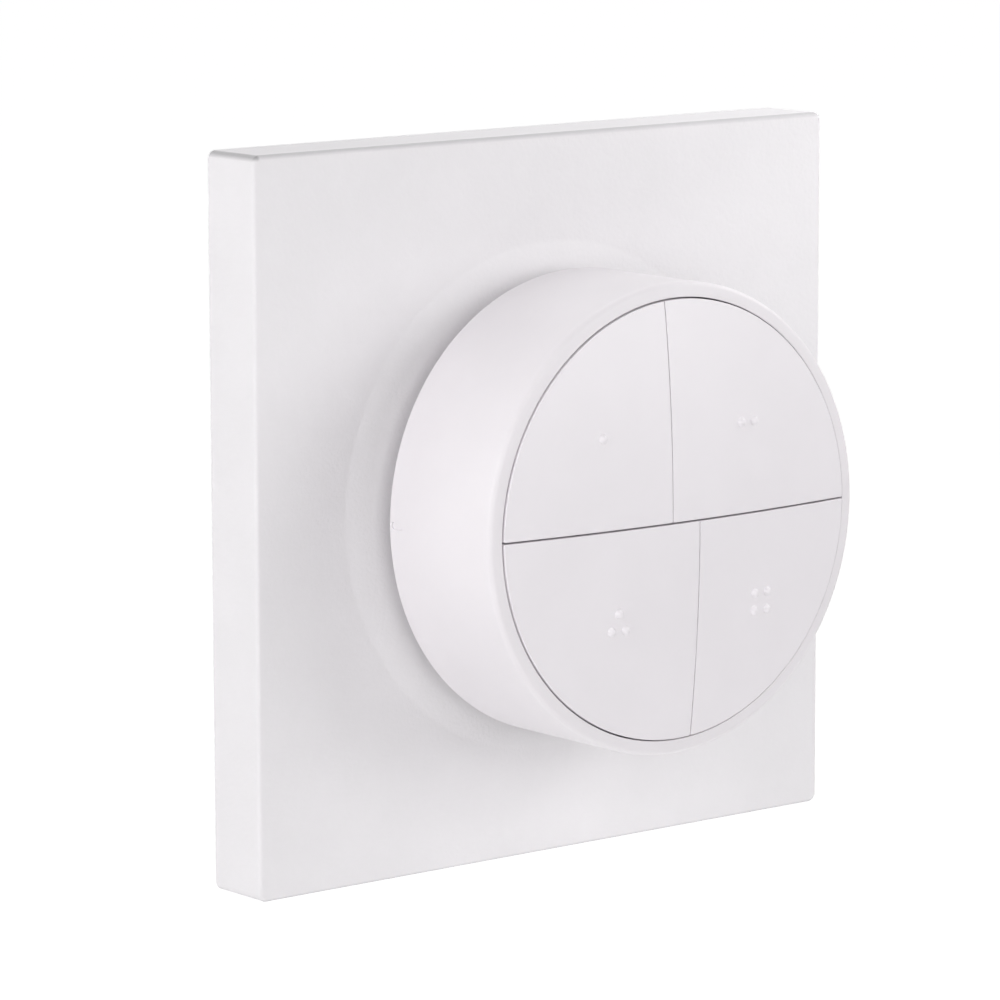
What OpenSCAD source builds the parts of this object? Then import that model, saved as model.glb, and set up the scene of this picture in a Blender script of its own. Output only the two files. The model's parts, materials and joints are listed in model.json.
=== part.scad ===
// Wall-mounted smart button: a square plate and a round puck with a turning dial and four push buttons.
// Depths are distances from the wall. Every piece is drawn with its depth along Z and then stood upright,
// so that the wall is the plane Y = 0, the front looks along -Y and +Z is up.

/* [Wall plate] */
// Width and height of the square plate
plate_w = 80; // [76:0.5:100]
// Thickness of the plate at its edge
plate_t = 8.15; // [7.6:0.05:10]
// Radius of the plate's four corners
plate_corner_r = 1; // [0.6:0.1:4]
// Rounding of the plate's front edge
plate_edge_r = 0.4; // [0.2:0.1:0.6]
// Thickness of the plate's side walls
plate_wall = 2; // [1.4:0.1:2.4]
// Thickness of the plate's front skin
plate_skin = 2; // [1.4:0.1:2.4]
// Radius of the foot of the shallow raised cone
boss_foot_r = 28.25; // [26:0.25:33]
// Height of the raised cone above the plate
boss_rise = 0.95; // [0.4:0.05:1.4]
// Wall of the collar round the puck's neck
collar_wall = 1.6; // [1.2:0.1:2.4]
// Thickness of the plate's stiffening ribs
rib_t = 1.2; // [0.8:0.1:1.6]

/* [Base plate] */
// Thickness of the flat base that closes the plate's back
base_t = 2.6; // [2.4:0.1:3]
// Distance between the locating pins, both ways
pin_pitch = 60; // [58:0.5:64]
// Radius of a locating pin
pin_r = 1.8; // [1.4:0.1:2.2]
// Width of the shoulder that rests on the base round a locating pin
shoulder_w = 1.4; // [1:0.1:1.8]
// Gap between a locating pin's end and the adhesive strip behind it
pin_end_gap = 0.2; // [0.1:0.05:0.4]
// Width of an adhesive strip
pad_w = 14; // [10:0.5:16]
// Length of an adhesive strip
pad_h = 62; // [40:1:66]
// Thickness of an adhesive strip
pad_t = 0.8; // [0.5:0.1:1]
// Distance between the strips' centre lines
pad_pitch = 54; // [50:0.5:56]
// Corner radius of an adhesive strip
pad_corner_r = 2; // [1:0.5:4]
// Distance between the two wall screws
screw_pitch = 34; // [31:0.5:36]
// Radius of a wall screw hole
screw_hole_r = 2; // [1.6:0.1:2.2]
// Radius of a wall screw's countersunk head
screw_head_r = 3.5; // [3:0.1:3.8]

/* [Dock] */
// Thickness of a steel keeper
keeper_t = 1.2; // [0.8:0.1:1.4]
// Radial width of a steel keeper
keeper_w = 6.6; // [5:0.1:7]
// Angle that a keeper covers
keeper_sweep = 124; // [110:1:130]
// Radius of a keeper's staking post
post_r = 1.2; // [0.8:0.1:1.6]
// Radius of a dock magnet
magnet_r = 3; // [2:0.1:3.2]
// Thickness of a dock magnet
magnet_t = 1.7; // [1:0.1:1.9]

/* [Puck housing] */
// Outer radius of the puck's neck
neck_r = 21.7; // [21.2:0.1:24]
// Wall of the neck
neck_wall = 2; // [1.6:0.1:2.2]
// Thickness of the puck's back wall
back_t = 2.4; // [2.2:0.1:3]
// Chamfer round the puck's back
back_chamfer = 0.5; // [0.2:0.1:0.8]
// Thickness of the flange that the dial runs on
thrust_t = 1.1; // [0.8:0.1:1.6]
// Radius of a screw boss
boss_r = 2.4; // [2.2:0.1:2.6]
// Radius of the spigot that locates the board on a boss
spigot_r = 1.9; // [1.6:0.1:2.1]

/* [Battery] */
// Radius of the coin cell
cell_r = 10; // [9:0.25:11]
// Thickness of the coin cell
cell_t = 3.2; // [2.5:0.1:4]
// Room for the spring above the cell
contact_room = 1.4; // [1.2:0.1:2]
// Thickness of the battery well's walls
well_wall = 1.2; // [1:0.1:1.6]
// Thickness of the contacts' sheet metal
contact_t = 0.3; // [0.2:0.05:0.4]
// Depth of the pocket for the door's rim
door_pocket = 1.2; // [1:0.05:1.4]
// How far the door lies behind the puck's back
door_recess = 0.3; // [0.1:0.05:0.4]
// Thickness of a bayonet lug
lug_t = 0.8; // [0.6:0.1:1]
// Angle that a bayonet lug covers
lug_sweep = 28; // [20:1:32]
// Turn that unlocks the door
door_turn = 40; // [38:1:60]
// Length of the coin slot
slot_l = 14; // [8:0.5:16]
// Width of the coin slot
slot_w = 2; // [1.6:0.1:2.6]
// Depth of the coin slot
slot_depth = 1; // [0.6:0.1:1.2]

/* [Dial] */
// Radial room between the neck and the dial's wall
dial_room = 2.35; // [2.1:0.05:4]
// Wall of the dial
dial_wall = 1.55; // [1.3:0.05:1.8]
// Length of the dial from its back edge to its front lip
dial_len = 17.35; // [17:0.05:24]
// Gap between the plate's face and the dial's back edge
dial_gap = 4.2; // [3.4:0.1:6]
// Rounding of the dial's front edge
dial_front_r = 0.65; // [0.4:0.05:0.9]
// Rounding of the dial's back edge
dial_back_r = 0.3; // [0.2:0.05:0.8]
// Thickness of the web that carries the dial on the neck
web_t = 1.6; // [1.2:0.1:2]
// How far the web lies in front of the dial's back edge
web_recess = 0.45; // [0.3:0.05:0.6]
// Thickness of the glide ring under the web
glide_t = 0.7; // [0.5:0.05:0.9]
// Thickness of the snap ring that keeps the dial on
retainer_t = 1.2; // [0.8:0.1:1.3]
// Depth of the snap ring's groove
groove_depth = 0.5; // [0.3:0.05:0.8]
// Height of the ring magnet
encoder_h = 2; // [1.5:0.1:2.1]
// Radial thickness of the ring magnet
encoder_w = 1.4; // [1:0.1:1.5]
// Length of the index mark
mark_l = 2.4; // [1:0.1:4]
// Width of the index mark
mark_w = 0.8; // [0.4:0.1:1.5]
// How far the index mark stands out
mark_rise = 0.15; // [0.05:0.05:0.3]
// Distance of the index mark from the dial's back edge
mark_offset = 0.5; // [0.4:0.1:4]

/* [Buttons] */
// Radius of the sphere that the front face is part of
dome_r = 187; // [150:1:300]
// Thickness of a button's face
cap_t = 1.6; // [1.2:0.1:1.9]
// Thickness of a button's skirt
skirt_t = 1.2; // [0.9:0.1:1.6]
// Length of a button's skirt below the dial's lip
skirt_h = 4.7; // [4:0.1:5]
// Rounding of the buttons' outer edge
rim_r = 0.3; // [0.15:0.05:0.5]
// How far the upright gap lies left of centre above, and right of centre below
gap_shift = 1.9; // [0:0.1:3]
// Travel of a button
travel = 0.5; // [0.2:0.05:0.6]
// Radius of a raised dot
dot_r = 0.46; // [0.3:0.02:0.6]
// Distance between neighbouring dots
dot_pitch = 1.9; // [1.4:0.1:2.4]
// Sideways distance of the first and last dot groups from the middle
dot_far_x = 11.15; // [8:0.05:13]
// Sideways distance of the other two dot groups from the middle
dot_near_x = 9.05; // [8:0.05:13]
// Distance of the upper dot groups from the middle
dot_up_y = 10.05; // [8:0.05:13]
// Distance of the lower dot groups from the middle
dot_low_y = 9.8; // [8:0.05:13]
// Radius of a button's plunger
plunger_r = 2.2; // [1.8:0.1:2.4]
// Radius of a button's guide pin
guide_r = 1.2; // [0.9:0.1:1.3]
// Wall of the tube round a guide pin
guide_wall = 1.1; // [1:0.1:1.2]
// Height of the snap head on a guide pin's end
snap_h = 0.6; // [0.4:0.1:0.8]
// How far a snap head stands out from its pin
snap_rise = 0.25; // [0.15:0.05:0.3]

/* [Carrier] */
// Thickness of the button carrier's floor
carrier_t = 1.5; // [1.2:0.1:1.8]
// Depth from the dial's lip to the carrier's floor
carrier_drop = 8.2; // [8:0.1:9]
// Thickness of the carrier's rim
carrier_rim_t = 1.2; // [0.8:0.1:1.6]
// Height of the guide tubes
guide_h = 4.5; // [3:0.1:5]
// Radius of a carrier screw's shank
carrier_screw_r = 0.95; // [0.7:0.05:1.1]
// Length of a carrier screw's shank
carrier_screw_l = 8; // [6:0.5:9]
// Radius of a carrier screw's head
carrier_head_r = 1.9; // [1.6:0.1:2.2]
// Height of a carrier screw's head
carrier_head_h = 1.4; // [1:0.1:1.8]

/* [Electronics] */
// Thickness of the circuit board
board_t = 1; // [0.6:0.1:1.6]
// Distance of the board's front below the neck's top
board_drop = 1; // [0.6:0.1:1.4]
// Distance of a button's switch from the middle, sideways and upright
switch_xy = 10; // [9.4:0.1:10.2]
// Side of a button's switch
switch_w = 6; // [5:0.1:6.2]
// Height of a button's switch without its stem
switch_h = 3.5; // [3:0.1:3.8]
// Radius of a switch stem
stem_r = 1.65; // [1.2:0.05:1.9]
// How far a stem stands out of its switch
stem_h = 1.5; // [1:0.1:1.7]
// Length and width of the radio module
radio_size = [11, 8.6]; // [6:0.1:12]
// Height of the radio module
radio_h = 2.2; // [1.5:0.1:3]
// Side of the controller chip
chip_w = 5; // [3:0.5:6]
// Height of the controller chip
chip_h = 0.9; // [0.6:0.1:1.2]
// Length, width and height of a dial sensor
sensor_size = [1.3, 2.9, 1.1]; // [0.8:0.1:3]
// Radius of the pairing button
pair_r = 1.5; // [1.2:0.1:1.7]
// Travel of the pairing button
pair_travel = 0.3; // [0.1:0.05:0.4]
// Length, width and height of the pairing switch
pair_switch_size = [3.6, 3.2, 1.8]; // [1.6:0.1:4]
// Radius of the pairing switch's stem
pair_stem_r = 0.8; // [0.5:0.05:1]

/* [Fits] */
// Gap round each button
button_gap = 0.3; // [0.2:0.05:0.4]
// Radial clearance of a part that turns or slides in another
run_clear = 0.08; // [0.05:0.01:0.1]
// Clearance between flat faces that turn or slide past each other
face_clear = 0.1; // [0.05:0.05:0.15]
// Clearance of a piece that sits in a pocket
seat_clear = 0.15; // [0.1:0.05:0.2]
// Clearance between the puck's neck and the plate's collar
dock_clear = 0.7; // [0.4:0.1:1]
// Clearance between the carrier and the dial that turns round it
carrier_clear = 0.4; // [0.3:0.05:0.5]

/* [Hidden] */
$fn = 96;

// Extra length of a cut past the face that it opens
over = 1;
// Depth by which joined solids reach into each other
embed = 0.2;

// Plate and base
collar_r = neck_r + dock_clear;
collar_out_r = collar_r + collar_wall;
boss_top_d = plate_t + boss_rise;
skin_back_d = plate_t - plate_skin;
skin_mid_d = plate_t - plate_skin / 2;
rib_gap = 0.4;
rib_d = base_t + rib_gap;
base_w = plate_w - 2 * plate_wall - 2 * seat_clear;
base_corner_r = 0.8;
seat_d = base_t;
pin_hole_r = pin_r + run_clear;
pin_end_d = pad_t + pin_end_gap;

// Battery door and well
cell_clear = 0.3;
door_ring_wall = 0.7;
lug_reach = 1.4;
notch_inset = 0.1;
notch_spare = 4;
door_ring_r = cell_r + cell_clear;
plug_r = door_ring_r + door_ring_wall;
lip_r = plug_r + seat_clear;
lug_r = plug_r + lug_reach;
well_r = lug_r + cell_clear;
well_out_r = well_r + well_wall;
door_r = well_r - seat_clear;
back_in_d = seat_d + back_t;
lip_back_d = seat_d + door_pocket;
plug_top_d = back_in_d + face_clear;
lug_top_d = plug_top_d + lug_t;
cell_d = plug_top_d + face_clear;
cell_top_d = cell_d + cell_t;
ceiling_d = cell_top_d + contact_room;
ceiling_top_d = ceiling_d + well_wall;
well_rib_d = lug_top_d + rib_gap;

// Housing radii
neck_in_r = neck_r - neck_wall;
boss_gap = 0.5;
boss_ring_r = neck_in_r - boss_gap - boss_r;
magnet_ring_r = (well_r + neck_r) / 2;
pair_hole_r = pair_r + run_clear;
pair_tube_wall = 0.8;
pair_tube_r = pair_hole_r + pair_tube_wall;
pair_gap = 0.3;
pair_ring_r = neck_in_r - pair_gap - pair_tube_r;
pair_angle = 22.5;
thread_clear = 0.05;

// Steel keepers left and right of the wall screws, with their faces just below the seat
keeper_angles = [0, 180];
keeper_in_r = magnet_ring_r - keeper_w / 2;
keeper_out_r = magnet_ring_r + keeper_w / 2;
keeper_front_d = seat_d - face_clear / 2;
keeper_back_d = keeper_front_d - keeper_t;
keeper_post_turn = 22;

// Angles round the puck of its bosses, magnets, cell ribs and bayonet lugs
boss_angles = [0, 90, 180, 270];
magnet_angles = [45, 135, 225, 315];
rib_angles = [40, 140, 270];
lug_angles = [0, 180];

// Dial
dial_in_r = neck_r + dial_room;
dial_r = dial_in_r + dial_wall;
dial_d = plate_t + dial_gap;
lip_d = dial_d + dial_len;
web_d = dial_d + web_recess;
web_top_d = web_d + web_t;
web_bore_r = neck_r + run_clear;
glide_d = web_d - face_clear - glide_t;
thrust_gap = 0.75;
thrust_r = dial_in_r - thrust_gap;
retainer_gap = 0.45;
retainer_r = dial_in_r - retainer_gap;
retainer_d = web_top_d + face_clear;
retainer_top_d = retainer_d + retainer_t;
retainer_split = 24;
encoder_gap = 0.3;
encoder_d = retainer_top_d + encoder_gap;
bond_line = 0.05;

// Dome, which the buttons and the dial's lip share
dome_middle_d = lip_d - sqrt(pow(dome_r, 2) - pow(dial_in_r, 2));
button_r = dial_in_r - button_gap;
skirt_d = lip_d - skirt_h;
dot_sink = 0.1;

// Carrier, board and switches
floor_d = lip_d - carrier_drop;
neck_top_d = floor_d - carrier_t;
carrier_r = dial_in_r - carrier_clear;
rim_gap = 0.2;
carrier_rim_d = skirt_d - travel - rim_gap;
board_front_d = neck_top_d - board_drop;
board_back_d = board_front_d - board_t;
board_clear = 0.4;
board_r = neck_in_r - board_clear;
switch_top_d = board_front_d + switch_h;
stem_hole = 1.2;
stem_hole_d = switch_top_d - stem_hole;
stem_d = stem_hole_d + travel + face_clear;
stem_top_d = switch_top_d + stem_h;

// Guide pins of the buttons, whose snap heads stay in the wide foot of their tubes
guide_hole_r = guide_r + run_clear;
guide_tube_r = guide_hole_r + guide_wall;
guide_gap = 0.4;
guide_far = switch_xy + switch_w / 2 + seat_clear + guide_tube_r + guide_gap;
guide_near = gap_shift + button_gap / 2 + skirt_t + guide_tube_r + guide_gap;
guide_slit = 0.6;
snap_r = guide_r + snap_rise;
snap_room = 0.3;
snap_d = floor_d + travel + snap_room;
snap_top_d = snap_d + snap_h;

// Contacts: width of the leaves and of the tails, and where the tails pass the well's ceiling
leaf_w = 4;
leaf_reach = 4;
tail_w = 1.5;
tail_gap = 1.4;
touch_gap = 0.05;
touch_half = 0.8;
tail_negative_x = leaf_reach - contact_t / 2;
tail_positive_x = -(cell_r + tail_gap);

// Middles of the radio module and of the controller on the back of the board
radio_y = -8.6;
chip_y = 7;
passive_size = [1.6, 0.8, 0.5];
passive_gap = 0.8;

// Angles of the two dial sensors, a quarter of a magnet pole apart
sensor_angles = [112, 128];
sensor_inset = 0.3;

// Pairing button and its switch
pair_switch_d = board_back_d - pair_switch_size[2];
pair_stem_hole = 1;
pair_stem_out = 0.9;
pair_stem_d = pair_switch_d - pair_stem_out;
pair_nose = 1.4;
pair_stop_t = 0.8;
pair_stop_d = pair_stem_d - pair_nose - pair_stop_t;
pair_tube_top_d = pair_stop_d - face_clear;
pair_recess = 0.4;

// Side of each button: left or right, and above or below
button_sides = [[-1, 1], [1, 1], [-1, -1], [1, -1]];

// Depth of the front dome at a given radius
function dome_depth(r) = dome_middle_d + sqrt(pow(dome_r, 2) - pow(r, 2));

// Sideways place of the upright gap above and below the middle
function gap_x(side) = -side[1] * gap_shift;

// Middle of a button's dots
function dot_middle(side) = [
    side[0] * (side[0] == side[1] ? dot_near_x : dot_far_x), side[1] > 0 ? dot_up_y : -dot_low_y
];

// Places of a button's dots, counted from the middle of the group
function dot_places(count) = dot_pitch / 2 * (
    count == 1 ? [[0, 0]]
    : count == 2 ? [[-1, 0], [1, 0]]
    : count == 3 ? [[0, 1], [-1, -1], [1, -1]]
    : [[-1, 1], [1, 1], [-1, -1], [1, -1]]
);

// Stands a piece upright in front of the wall
module stand() {
    rotate([90, 0, 0])
        children();
}

// Puts a piece at a radius and an angle round the puck's axis
module at_polar(r, a) {
    rotate([0, 0, a])
        translate([r, 0, 0])
            children();
}

// Solid disc between two depths
module disc(r, d0, d1) {
    translate([0, 0, d0])
        cylinder(r = r, h = d1 - d0);
}

// Ring between two radii and two depths
module ring(r0, r1, d0, d1) {
    rotate_extrude()
        translate([r0, d0])
            square([r1 - r0, d1 - d0]);
}

// Part of a ring, with the middle of the part at a given angle
module sector(r0, r1, d0, d1, middle, sweep) {
    rotate([0, 0, middle - sweep / 2])
        rotate_extrude(angle = sweep)
            translate([r0, d0])
                square([r1 - r0, d1 - d0]);
}

// Box between two depths, centred on the axis
module block(size, d0, d1) {
    translate([-size[0] / 2, -size[1] / 2, d0])
        cube([size[0], size[1], d1 - d0]);
}

// Rectangle with rounded corners
module rounded_rectangle(size, r) {
    square([size[0] - 2 * r, size[1]], center = true);
    square([size[0], size[1] - 2 * r], center = true);
    for (sx = [-1, 1], sy = [-1, 1])
        translate([sx * (size[0] / 2 - r), sy * (size[1] / 2 - r)])
            circle(r);
}

// What a rounded corner leaves off: a wedge between two angles, less the round itself
module corner_cut(middle, r, a0, a1) {
    far = 4 * r;
    translate(middle)
        difference() {
            polygon([
                [0, 0],
                far * [cos(a0), sin(a0)],
                far * [cos(a0), sin(a0)] + far * [cos(a1), sin(a1)],
                far * [cos(a1), sin(a1)]
            ]);
            circle(r);
        }
}

// Half section under the front dome, out to a radius
module dome_section(r, d0, thickness = 0) {
    intersection() {
        translate([0, dome_middle_d])
            circle(dome_r - thickness, $fn = 2880);
        translate([0, d0])
            square([r, dome_r]);
    }
}

// Rounds the corner where the dome meets a straight side at a radius
module dome_corner_cut(r, round_r) {
    x = r - round_r;
    y = dome_middle_d + sqrt(pow(dome_r - round_r, 2) - pow(x, 2));
    corner_cut([x, y], round_r, 0, atan2(y - dome_middle_d, x));
}

// Section of the plate across its width, with the front edges rounded
module plate_section() {
    inner = plate_w / 2 - plate_edge_r;
    translate([-inner, 0])
        square([2 * inner, plate_t]);
    translate([-plate_w / 2, 0])
        square([plate_w, plate_t - plate_edge_r]);
    for (s = [-1, 1])
        translate([s * inner, plate_t - plate_edge_r])
            circle(plate_edge_r);
}

// Outside of the plate: one outline seen from the front and from both sides
module plate_block() {
    intersection() {
        linear_extrude(plate_t)
            rounded_rectangle([plate_w, plate_w], plate_corner_r);
        rotate([90, 0, 0])
            linear_extrude(plate_w + 2 * over, center = true)
                plate_section();
        rotate([90, 0, 90])
            linear_extrude(plate_w + 2 * over, center = true)
                plate_section();
    }
}

// Shallow cone that rises towards the puck
module plate_cone() {
    rotate_extrude()
        polygon([
            [0, skin_back_d],
            [boss_foot_r, skin_back_d],
            [boss_foot_r, plate_t],
            [collar_r, boss_top_d],
            [0, boss_top_d]
        ]);
}

// Ribs from the collar to the side walls and to the pin sockets
module plate_ribs() {
    straight = plate_w / 2 - plate_wall / 2 - collar_r;
    slanted = pin_pitch / sqrt(2) - collar_r;
    for (a = [0:45:315])
        rotate([0, 0, a])
            translate([collar_r + embed, -rib_t / 2, rib_d])
                cube([a % 90 == 0 ? straight : slanted, rib_t, skin_mid_d - rib_d]);
}

module at_pins() {
    for (sx = [-1, 1], sy = [-1, 1])
        translate([sx * pin_pitch / 2, sy * pin_pitch / 2, 0])
            children();
}

module wall_plate() {
    color("whitesmoke")
        stand()
            difference() {
                union() {
                    difference() {
                        union() {
                            plate_block();
                            plate_cone();
                        }
                        translate([0, 0, -over])
                            linear_extrude(skin_back_d + over)
                                square(plate_w - 2 * plate_wall, center = true);
                    }
                    disc(collar_out_r, base_t, skin_mid_d);
                    plate_ribs();
                    at_pins() {
                        disc(pin_r + shoulder_w, base_t, skin_mid_d);
                        disc(pin_r, pin_end_d, skin_mid_d);
                    }
                }
                disc(collar_r, -over, boss_top_d + over);
            }
}

// Places of the posts that hold a keeper
module at_keeper_posts() {
    for (a = keeper_angles, s = [-1, 1])
        at_polar(magnet_ring_r, a + s * keeper_post_turn)
            children();
}

module at_wall_screws() {
    for (s = [-1, 1])
        translate([0, s * screw_pitch / 2, 0])
            children();
}

module base_plate() {
    head_depth = screw_head_r - screw_hole_r;
    end_turn = 2 * atan(seat_clear / keeper_in_r);
    color("gainsboro")
        stand() {
            difference() {
                linear_extrude(base_t)
                    rounded_rectangle([base_w, base_w], base_corner_r);
                for (a = keeper_angles)
                    sector(
                        keeper_in_r - seat_clear, keeper_out_r + seat_clear,
                        keeper_back_d, base_t + over, a, keeper_sweep + end_turn
                    );
                at_wall_screws() {
                    disc(screw_hole_r, -over, base_t + over);
                    translate([0, 0, base_t - head_depth])
                        cylinder(r1 = screw_hole_r, r2 = screw_head_r, h = head_depth);
                }
                at_pins()
                    disc(pin_hole_r, pad_t - embed, base_t + over);
                for (s = [-1, 1])
                    translate([s * pad_pitch / 2, 0, -over])
                        linear_extrude(pad_t + over)
                            rounded_rectangle(
                                [pad_w + 2 * seat_clear, pad_h + 2 * seat_clear], pad_corner_r + seat_clear
                            );
            }
            at_keeper_posts()
                disc(post_r, keeper_back_d - embed, keeper_front_d);
        }
}

module keeper_segments() {
    color("silver")
        stand()
            difference() {
                for (a = keeper_angles)
                    sector(keeper_in_r, keeper_out_r, keeper_back_d, keeper_front_d, a, keeper_sweep);
                at_keeper_posts()
                    disc(post_r + run_clear, 0, base_t + over);
            }
}

module adhesive_pads() {
    color("dimgray")
        stand()
            for (s = [-1, 1])
                translate([s * pad_pitch / 2, 0, 0])
                    linear_extrude(pad_t)
                        rounded_rectangle([pad_w, pad_h], pad_corner_r);
}

module at_bosses() {
    for (a = boss_angles)
        at_polar(boss_ring_r, a)
            children();
}

module at_pairing() {
    at_polar(pair_ring_r, pair_angle)
        children();
}

// Cup with the neck, the flange under the dial and the groove for the snap ring
module housing_cup() {
    difference() {
        rotate_extrude()
            polygon([
                [0, seat_d],
                [neck_r - back_chamfer, seat_d],
                [neck_r, seat_d + back_chamfer],
                [neck_r, glide_d - thrust_t],
                [thrust_r, glide_d - thrust_t],
                [thrust_r, glide_d],
                [neck_r, glide_d],
                [neck_r, neck_top_d],
                [neck_in_r, neck_top_d],
                [neck_in_r, back_in_d],
                [0, back_in_d]
            ]);
        ring(neck_r - groove_depth, neck_r + over, retainer_d - face_clear / 2, retainer_top_d + face_clear / 2);
    }
}

// Round well that the coin cell sits in, with the ribs that centre the cell
module battery_well() {
    ring(well_r, well_out_r, back_in_d - embed, ceiling_d + embed);
    disc(well_out_r, ceiling_d, ceiling_top_d);
    for (a = rib_angles)
        rotate([0, 0, a])
            translate([door_ring_r, -rib_t / 2, well_rib_d])
                cube([well_r - door_ring_r + embed, rib_t, ceiling_d - well_rib_d + embed]);
}

// Bosses for the carrier screws, each tied to the neck by a rib
module housing_bosses() {
    at_bosses() {
        disc(boss_r, back_in_d - embed, board_back_d);
        disc(spigot_r, board_back_d - embed, neck_top_d);
        translate([0, -rib_t / 2, back_in_d - embed])
            cube([neck_in_r - boss_ring_r + embed, rib_t, board_back_d - back_in_d]);
    }
}

// Slots in the well's ceiling for the contacts' tails
module contact_slots() {
    for (x = [tail_negative_x, tail_positive_x])
        translate([x, 0, 0])
            block([contact_t + 2 * seat_clear, tail_w + 2 * seat_clear], ceiling_d - over, ceiling_top_d + over);
}

module base_housing() {
    color("gainsboro")
        stand()
            difference() {
                union() {
                    housing_cup();
                    battery_well();
                    housing_bosses();
                    at_pairing()
                        disc(pair_tube_r, back_in_d - embed, pair_tube_top_d);
                }
                disc(door_r + seat_clear, seat_d - over, lip_back_d);
                disc(lip_r, seat_d, back_in_d + over);
                for (a = lug_angles)
                    sector(
                        plug_r, well_r - notch_inset, lip_back_d - embed, back_in_d + embed,
                        a + door_turn, lug_sweep + notch_spare
                    );
                for (a = magnet_angles)
                    at_polar(magnet_ring_r, a)
                        disc(magnet_r + seat_clear, back_in_d - magnet_t, back_in_d + over);
                at_bosses()
                    disc(carrier_screw_r + thread_clear, neck_top_d - carrier_screw_l, neck_top_d + over);
                at_pairing()
                    disc(pair_hole_r, seat_d - over, pair_tube_top_d + over);
                contact_slots();
            }
}

module dock_magnets() {
    color("lightslategray")
        stand()
            for (a = magnet_angles)
                at_polar(magnet_ring_r, a)
                    disc(magnet_r, back_in_d - magnet_t, back_in_d);
}

module coin_cell() {
    cap_h = 0.25;
    cap_r = cell_r - 1.2;
    edge = 0.3;
    color("silver")
        stand()
            rotate_extrude()
                polygon([
                    [0, cell_d],
                    [cell_r - edge, cell_d],
                    [cell_r, cell_d + edge],
                    [cell_r, cell_top_d - cap_h - edge],
                    [cell_r - edge, cell_top_d - cap_h],
                    [cap_r, cell_top_d - cap_h],
                    [cap_r, cell_top_d],
                    [0, cell_top_d]
                ]);
}

// Sheet-metal strip that follows a section in x and depth
module leaf(points, width) {
    rotate([90, 0, 0])
        linear_extrude(width, center = true)
            polygon(points);
}

module battery_contact_negative() {
    touch_d = cell_top_d + touch_gap;
    tip_x = 3 * touch_half;
    color("goldenrod")
        stand() {
            leaf([
                [leaf_reach, ceiling_d],
                [-leaf_reach, ceiling_d],
                [-leaf_reach, ceiling_d - contact_t],
                [-touch_half, touch_d],
                [touch_half, touch_d],
                [tip_x, touch_d + contact_t],
                [tip_x, touch_d + 2 * contact_t],
                [touch_half, touch_d + contact_t],
                [-touch_half, touch_d + contact_t],
                [-leaf_reach + 2 * contact_t, ceiling_d - contact_t],
                [leaf_reach, ceiling_d - contact_t]
            ], leaf_w);
            translate([tail_negative_x, 0, 0])
                block([contact_t, tail_w], ceiling_d - contact_t, board_back_d);
        }
}

module battery_contact_positive() {
    touch_x = -(cell_r + touch_gap);
    root_x = tail_positive_x - contact_t / 2;
    touch_low_d = well_rib_d + 2 * contact_t;
    touch_high_d = touch_low_d + touch_half;
    color("goldenrod")
        stand() {
            leaf([
                [root_x, ceiling_d],
                [root_x, ceiling_d - contact_t],
                [touch_x - contact_t, touch_high_d],
                [touch_x - contact_t, touch_low_d],
                [root_x + contact_t, well_rib_d],
                [root_x + 2 * contact_t, well_rib_d],
                [touch_x, touch_low_d],
                [touch_x, touch_high_d],
                [root_x + contact_t, ceiling_d - contact_t],
                [root_x + contact_t, ceiling_d]
            ], leaf_w);
            translate([tail_positive_x, 0, 0])
                block([contact_t, tail_w], ceiling_d - contact_t, board_back_d);
        }
}

module circuit_board() {
    color("darkgreen")
        stand()
            difference() {
                disc(board_r, board_back_d, board_front_d);
                at_bosses()
                    disc(spigot_r + seat_clear, board_back_d - over, board_front_d + over);
            }
}

module radio_module() {
    substrate_t = 0.8;
    shield_inset = 0.5;
    antenna_w = 2;
    color("lightgray")
        stand()
            translate([0, radio_y, 0]) {
                block(radio_size, board_back_d - substrate_t, board_back_d);
                translate([antenna_w / 2, 0, 0])
                    block(
                        [radio_size[0] - 2 * shield_inset - antenna_w, radio_size[1] - 2 * shield_inset],
                        board_back_d - radio_h, board_back_d - substrate_t
                    );
            }
}

module board_chips() {
    passive_x = chip_w / 2 + passive_gap + passive_size[0] / 2;
    color("black")
        stand()
            translate([0, chip_y, 0]) {
                block([chip_w, chip_w], board_back_d - chip_h, board_back_d);
                for (s = [-1, 1])
                    translate([s * passive_x, 0, 0])
                        block(passive_size, board_back_d - passive_size[2], board_back_d);
            }
}

module hall_sensors() {
    color("black")
        stand()
            for (a = sensor_angles)
                at_polar(board_r - sensor_inset - sensor_size[0] / 2, a)
                    block(sensor_size, board_back_d - sensor_size[2], board_back_d);
}

module at_switch(side) {
    translate([side[0] * switch_xy, side[1] * switch_xy, 0])
        children();
}

module tact_switches() {
    color("dimgray")
        stand()
            for (side = button_sides)
                at_switch(side)
                    difference() {
                        block([switch_w, switch_w], board_front_d, switch_top_d);
                        disc(stem_r + run_clear, stem_hole_d, switch_top_d + over);
                    }
}

module switch_stem(side) {
    color("white")
        stand()
            at_switch(side)
                disc(stem_r, stem_d, stem_top_d);
}

module switch_stem_1() { switch_stem(button_sides[0]); }
module switch_stem_2() { switch_stem(button_sides[1]); }
module switch_stem_3() { switch_stem(button_sides[2]); }
module switch_stem_4() { switch_stem(button_sides[3]); }

module pairing_switch() {
    color("dimgray")
        stand()
            at_pairing()
                difference() {
                    block(pair_switch_size, pair_switch_d, board_back_d);
                    disc(pair_stem_r + run_clear, pair_switch_d - over, pair_switch_d + pair_stem_hole);
                }
}

module pairing_stem() {
    color("white")
        stand()
            at_pairing()
                disc(pair_stem_r, pair_stem_d, pair_switch_d + pair_stem_hole - pair_travel - face_clear);
}

module pairing_button() {
    color("white")
        stand()
            at_pairing() {
                disc(pair_r, seat_d + pair_recess, pair_stem_d);
                disc(pair_tube_r, pair_stop_d, pair_stop_d + pair_stop_t);
            }
}

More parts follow.
